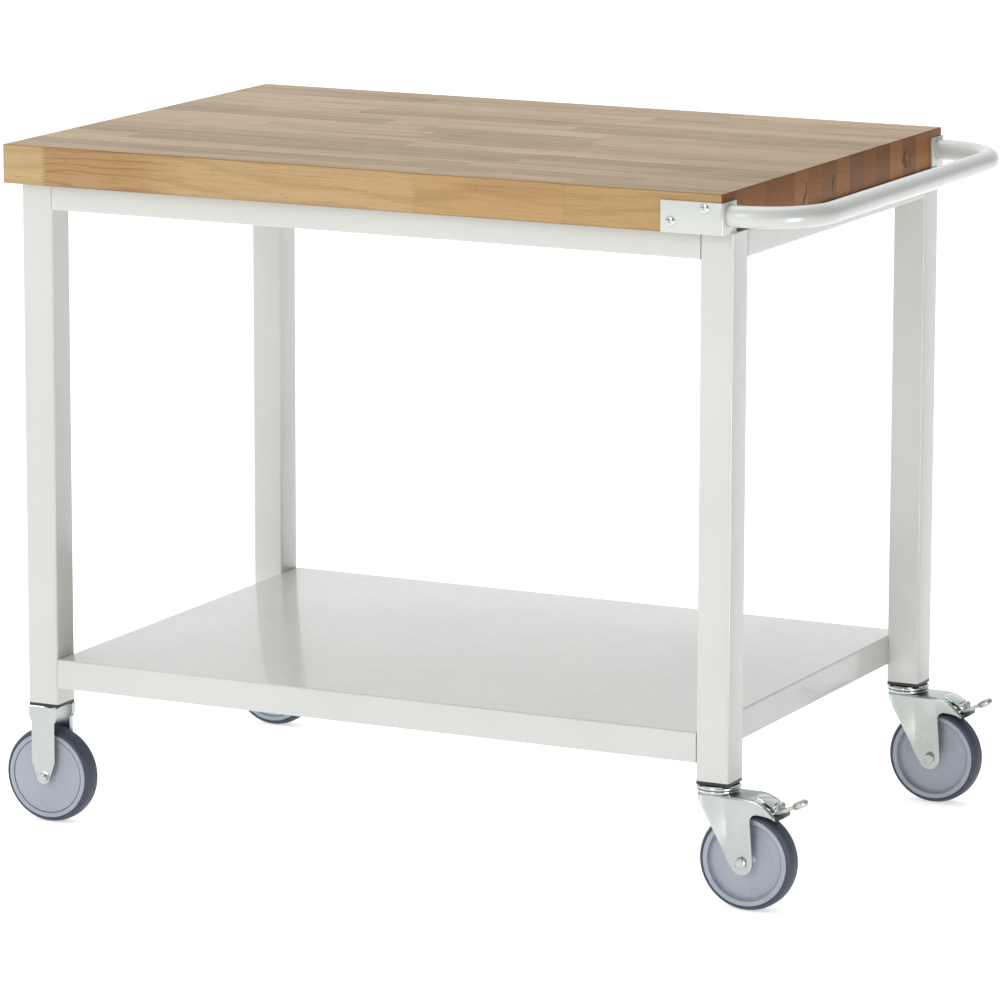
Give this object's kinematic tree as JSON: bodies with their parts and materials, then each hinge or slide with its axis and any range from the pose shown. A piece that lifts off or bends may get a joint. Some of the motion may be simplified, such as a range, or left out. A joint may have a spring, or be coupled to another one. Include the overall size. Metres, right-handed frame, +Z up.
{
  "type": "mobile workbench table",
  "caption": "Rectangular bench table on castors: thick laminated beech top, welded square-tube steel frame, folded lower shelf, push handle at one end, and braked swivel wheels.",
  "frame": {"origin": "on the floor, in the middle of the box round the whole bench with its castors and handle", "axes": "+X towards the push handle along the length, +Y from the front edge to the rear, +Z up"},
  "size_m": [1.1404, 0.706, 0.89],
  "materials": {
    "beech": "oiled finger-jointed beech staves",
    "powder_coat": "light grey powder coat, satin",
    "zinc_plate": "bright zinc plate",
    "black_plastic": "moulded, satin",
    "grey_plastic": "moulded polypropylene, satin",
    "grey_tread": "soft grey tread"
  },
  "bodies": {
    "frame": {"worktop": "beech", "leg_front_left": "powder_coat", "leg_rear_left": "powder_coat", "leg_front_right": "powder_coat", "leg_rear_right": "powder_coat", "rail_front": "powder_coat", "rail_rear": "powder_coat", "rail_left": "powder_coat", "rail_right": "powder_coat", "shelf_tray": "powder_coat", "shelf_stiffener": "powder_coat", "push_handle": "powder_coat", "handle_bracket_front": "powder_coat", "handle_bracket_rear": "powder_coat", "leg_plug_front_left": "black_plastic", "leg_plug_rear_left": "black_plastic", "leg_plug_front_right": "black_plastic", "leg_plug_rear_right": "black_plastic", "castor_stem_front_left": "zinc_plate", "castor_stem_rear_left": "zinc_plate", "castor_stem_front_right": "zinc_plate", "castor_stem_rear_right": "zinc_plate", "bearing_top_race_front_right": "zinc_plate", "bearing_top_race_rear_right": "zinc_plate", "fixed_fork_front_left": "zinc_plate", "axle_bolt_front_left": "zinc_plate", "axle_nut_front_left": "zinc_plate", "axle_sleeve_front_left": "zinc_plate", "fixed_fork_rear_left": "zinc_plate", "axle_bolt_rear_left": "zinc_plate", "axle_nut_rear_left": "zinc_plate", "axle_sleeve_rear_left": "zinc_plate"},
    "swivel_front_right": {"bearing_lower_race_front_right": "zinc_plate", "bearing_ball_cage_front_right": "zinc_plate", "swivel_fork_front_right": "zinc_plate", "axle_bolt_front_right": "zinc_plate", "axle_nut_front_right": "zinc_plate", "axle_sleeve_front_right": "zinc_plate", "brake_plate_front_right": "zinc_plate", "brake_pin_front_right": "zinc_plate"},
    "brake_front_right": {"brake_pedal_front_right": "zinc_plate", "brake_shoe_front_right": "black_plastic"},
    "swivel_rear_right": {"bearing_lower_race_rear_right": "zinc_plate", "bearing_ball_cage_rear_right": "zinc_plate", "swivel_fork_rear_right": "zinc_plate", "axle_bolt_rear_right": "zinc_plate", "axle_nut_rear_right": "zinc_plate", "axle_sleeve_rear_right": "zinc_plate", "brake_plate_rear_right": "zinc_plate", "brake_pin_rear_right": "zinc_plate"},
    "brake_rear_right": {"brake_pedal_rear_right": "zinc_plate", "brake_shoe_rear_right": "black_plastic"},
    "wheel_front_left": {"wheel_core_front_left": "grey_plastic", "tyre_front_left": "grey_tread"},
    "wheel_rear_left": {"wheel_core_rear_left": "grey_plastic", "tyre_rear_left": "grey_tread"},
    "wheel_front_right": {"wheel_core_front_right": "grey_plastic", "tyre_front_right": "grey_tread"},
    "wheel_rear_right": {"wheel_core_rear_right": "grey_plastic", "tyre_rear_right": "grey_tread"}
  },
  "joints": [
    {"name": "castor_swivel_front_right", "type": "hinge", "parent": "frame", "child": "swivel_front_right", "pos_m": [0.44025, -0.306, 0.15], "axis": [0, 0, 1], "continuous": true},
    {"name": "castor_swivel_rear_right", "type": "hinge", "parent": "frame", "child": "swivel_rear_right", "pos_m": [0.44025, 0.306, 0.15], "axis": [0, 0, 1], "continuous": true},
    {"name": "wheel_spin_front_left", "type": "hinge", "parent": "frame", "child": "wheel_front_left", "pos_m": [-0.50775, -0.306, 0.0625], "axis": [0, 1, 0], "continuous": true},
    {"name": "wheel_spin_rear_left", "type": "hinge", "parent": "frame", "child": "wheel_rear_left", "pos_m": [-0.50775, 0.306, 0.0625], "axis": [0, 1, 0], "continuous": true},
    {"name": "wheel_spin_front_right", "type": "hinge", "parent": "swivel_front_right", "child": "wheel_front_right", "pos_m": [0.48125, -0.306, 0.0625], "axis": [0, 1, 0], "continuous": true},
    {"name": "wheel_spin_rear_right", "type": "hinge", "parent": "swivel_rear_right", "child": "wheel_rear_right", "pos_m": [0.48125, 0.306, 0.0625], "axis": [0, 1, 0], "continuous": true},
    {"name": "brake_pedal_front_right", "type": "hinge", "parent": "swivel_front_right", "child": "brake_front_right", "pos_m": [0.51925, -0.306, 0.132], "axis": [0, 1, 0], "range_deg": [0, 22]},
    {"name": "brake_pedal_rear_right", "type": "hinge", "parent": "swivel_rear_right", "child": "brake_rear_right", "pos_m": [0.51925, 0.306, 0.132], "axis": [0, 1, 0], "range_deg": [0, 22]}
  ]
}
